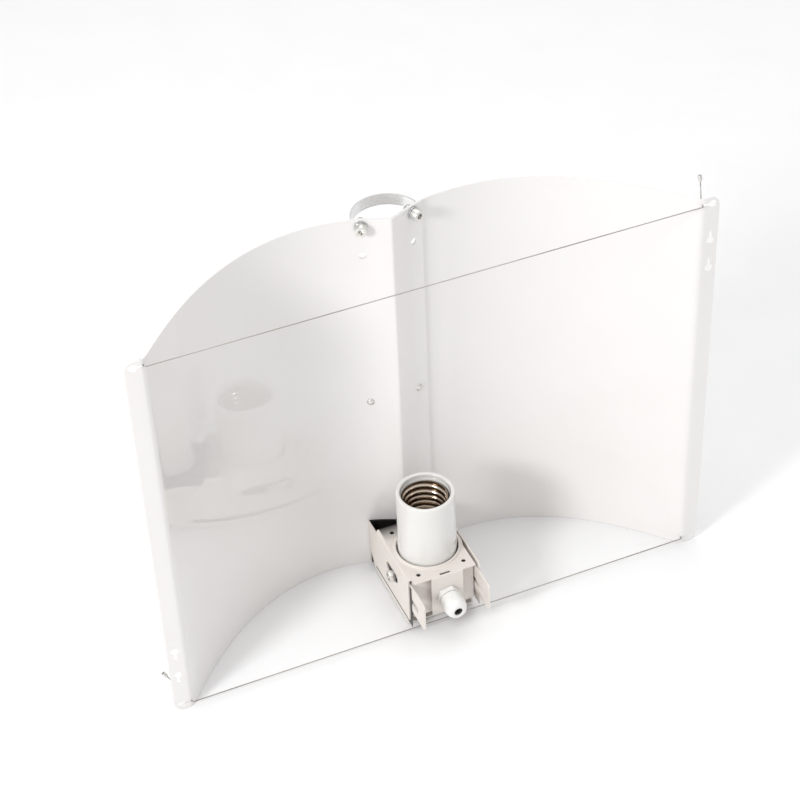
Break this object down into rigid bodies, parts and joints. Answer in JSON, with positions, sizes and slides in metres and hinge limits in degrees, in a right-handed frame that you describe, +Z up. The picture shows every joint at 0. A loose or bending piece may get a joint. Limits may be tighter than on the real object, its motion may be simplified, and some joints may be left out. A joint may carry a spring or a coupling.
{
  "type": "lamp reflector",
  "caption": "Gull-wing sheet reflector with a porcelain screw lampholder on a sliding carriage, tie wires across its mouth, hanger straps behind its ridge and a cable gland.",
  "frame": {"origin": "centre of the bounding box's base, level with the lower sheet edge that it stands on", "axes": "+X across the wings to the right as seen from the open front, +Y from the open front to the ridge, +Z up along the lamp's axis"},
  "size_m": [0.5278, 0.16, 0.4099],
  "materials": {
    "white_coat": "gloss",
    "beige_steel": "satin",
    "zinc": "satin",
    "wire_steel": "satin",
    "brass": "satin",
    "porcelain": "gloss",
    "nickel": "gloss",
    "white_plastic": "satin",
    "rubber": "matte"
  },
  "bodies": {
    "reflector": {"left_wing": "white_coat", "right_wing": "white_coat", "mounting_bracket": "beige_steel", "ridge_rivet_left": "zinc", "ridge_rivet_right": "zinc", "wire_anchor_top": "zinc", "wire_anchor_bottom": "zinc", "wire_ferrule_top": "zinc", "wire_ferrule_bottom": "zinc", "hanger_strap_top": "zinc", "hanger_strap_bottom": "zinc", "hanger_screw_top_left": "zinc", "hanger_washer_top_left": "zinc", "hanger_nut_top_left": "zinc", "hanger_screw_top_right": "zinc", "hanger_washer_top_right": "zinc", "hanger_nut_top_right": "zinc", "hanger_screw_bottom_left": "zinc", "hanger_washer_bottom_left": "zinc", "hanger_nut_bottom_left": "zinc", "hanger_screw_bottom_right": "zinc", "hanger_washer_bottom_right": "zinc", "hanger_nut_bottom_right": "zinc", "bracket_screw_left": "zinc", "bracket_nut_left": "zinc", "bracket_screw_right": "zinc", "bracket_nut_right": "zinc", "tie_wire_top": "wire_steel", "tie_wire_bottom": "wire_steel"},
    "carriage": {"socket_saddle": "beige_steel", "right_cheek": "beige_steel", "terminal_box": "beige_steel", "terminal_cover": "beige_steel", "porcelain_cradle": "zinc", "cover_screw_front": "zinc", "cover_screw_back": "zinc", "earth_screw": "brass", "earth_nut": "brass", "clamp_bolt_left": "zinc", "clamp_bolt_right": "zinc", "clamp_washer_left": "zinc", "clamp_washer_right": "zinc", "porcelain_body": "porcelain", "screw_shell": "nickel", "contact_spring": "zinc", "live_terminal": "brass", "neutral_terminal": "brass", "live_screw": "zinc", "neutral_screw": "zinc", "shell_stud": "brass", "gland_body": "white_plastic", "gland_seal": "rubber", "gland_locknut": "white_plastic"},
    "gland_cap": {"gland_cap": "white_plastic"},
    "clamp_nut_left": {"clamp_nut_left": "zinc"},
    "clamp_nut_right": {"clamp_nut_right": "zinc"},
    "centre_contact": {"centre_contact": "brass"}
  },
  "joints": [
    {"name": "carriage_slide", "type": "slide", "parent": "reflector", "child": "carriage", "axis": [0, 1, 0], "range_m": [-0.05, 0.008]},
    {"name": "gland_cap_turn", "type": "hinge", "parent": "carriage", "child": "gland_cap", "pos_m": [0.0015, -0.066, 0.038], "axis": [0, -1, 0], "range_deg": [-540, 0]},
    {"name": "clamp_nut_left_turn", "type": "hinge", "parent": "carriage", "child": "clamp_nut_left", "pos_m": [-0.0375, -0.013, 0.04], "axis": [-1, 0, 0], "range_deg": [-540, 0]},
    {"name": "clamp_nut_right_turn", "type": "hinge", "parent": "carriage", "child": "clamp_nut_right", "pos_m": [0.0375, -0.013, 0.04], "axis": [1, 0, 0], "range_deg": [-540, 0]},
    {"name": "contact_press", "type": "slide", "parent": "carriage", "child": "centre_contact", "axis": [0, 0, -1], "range_m": [0, 0.003], "stiffness_N_per_m": 800, "springref_m": -0.002, "deforming": ["contact_spring"]}
  ]
}
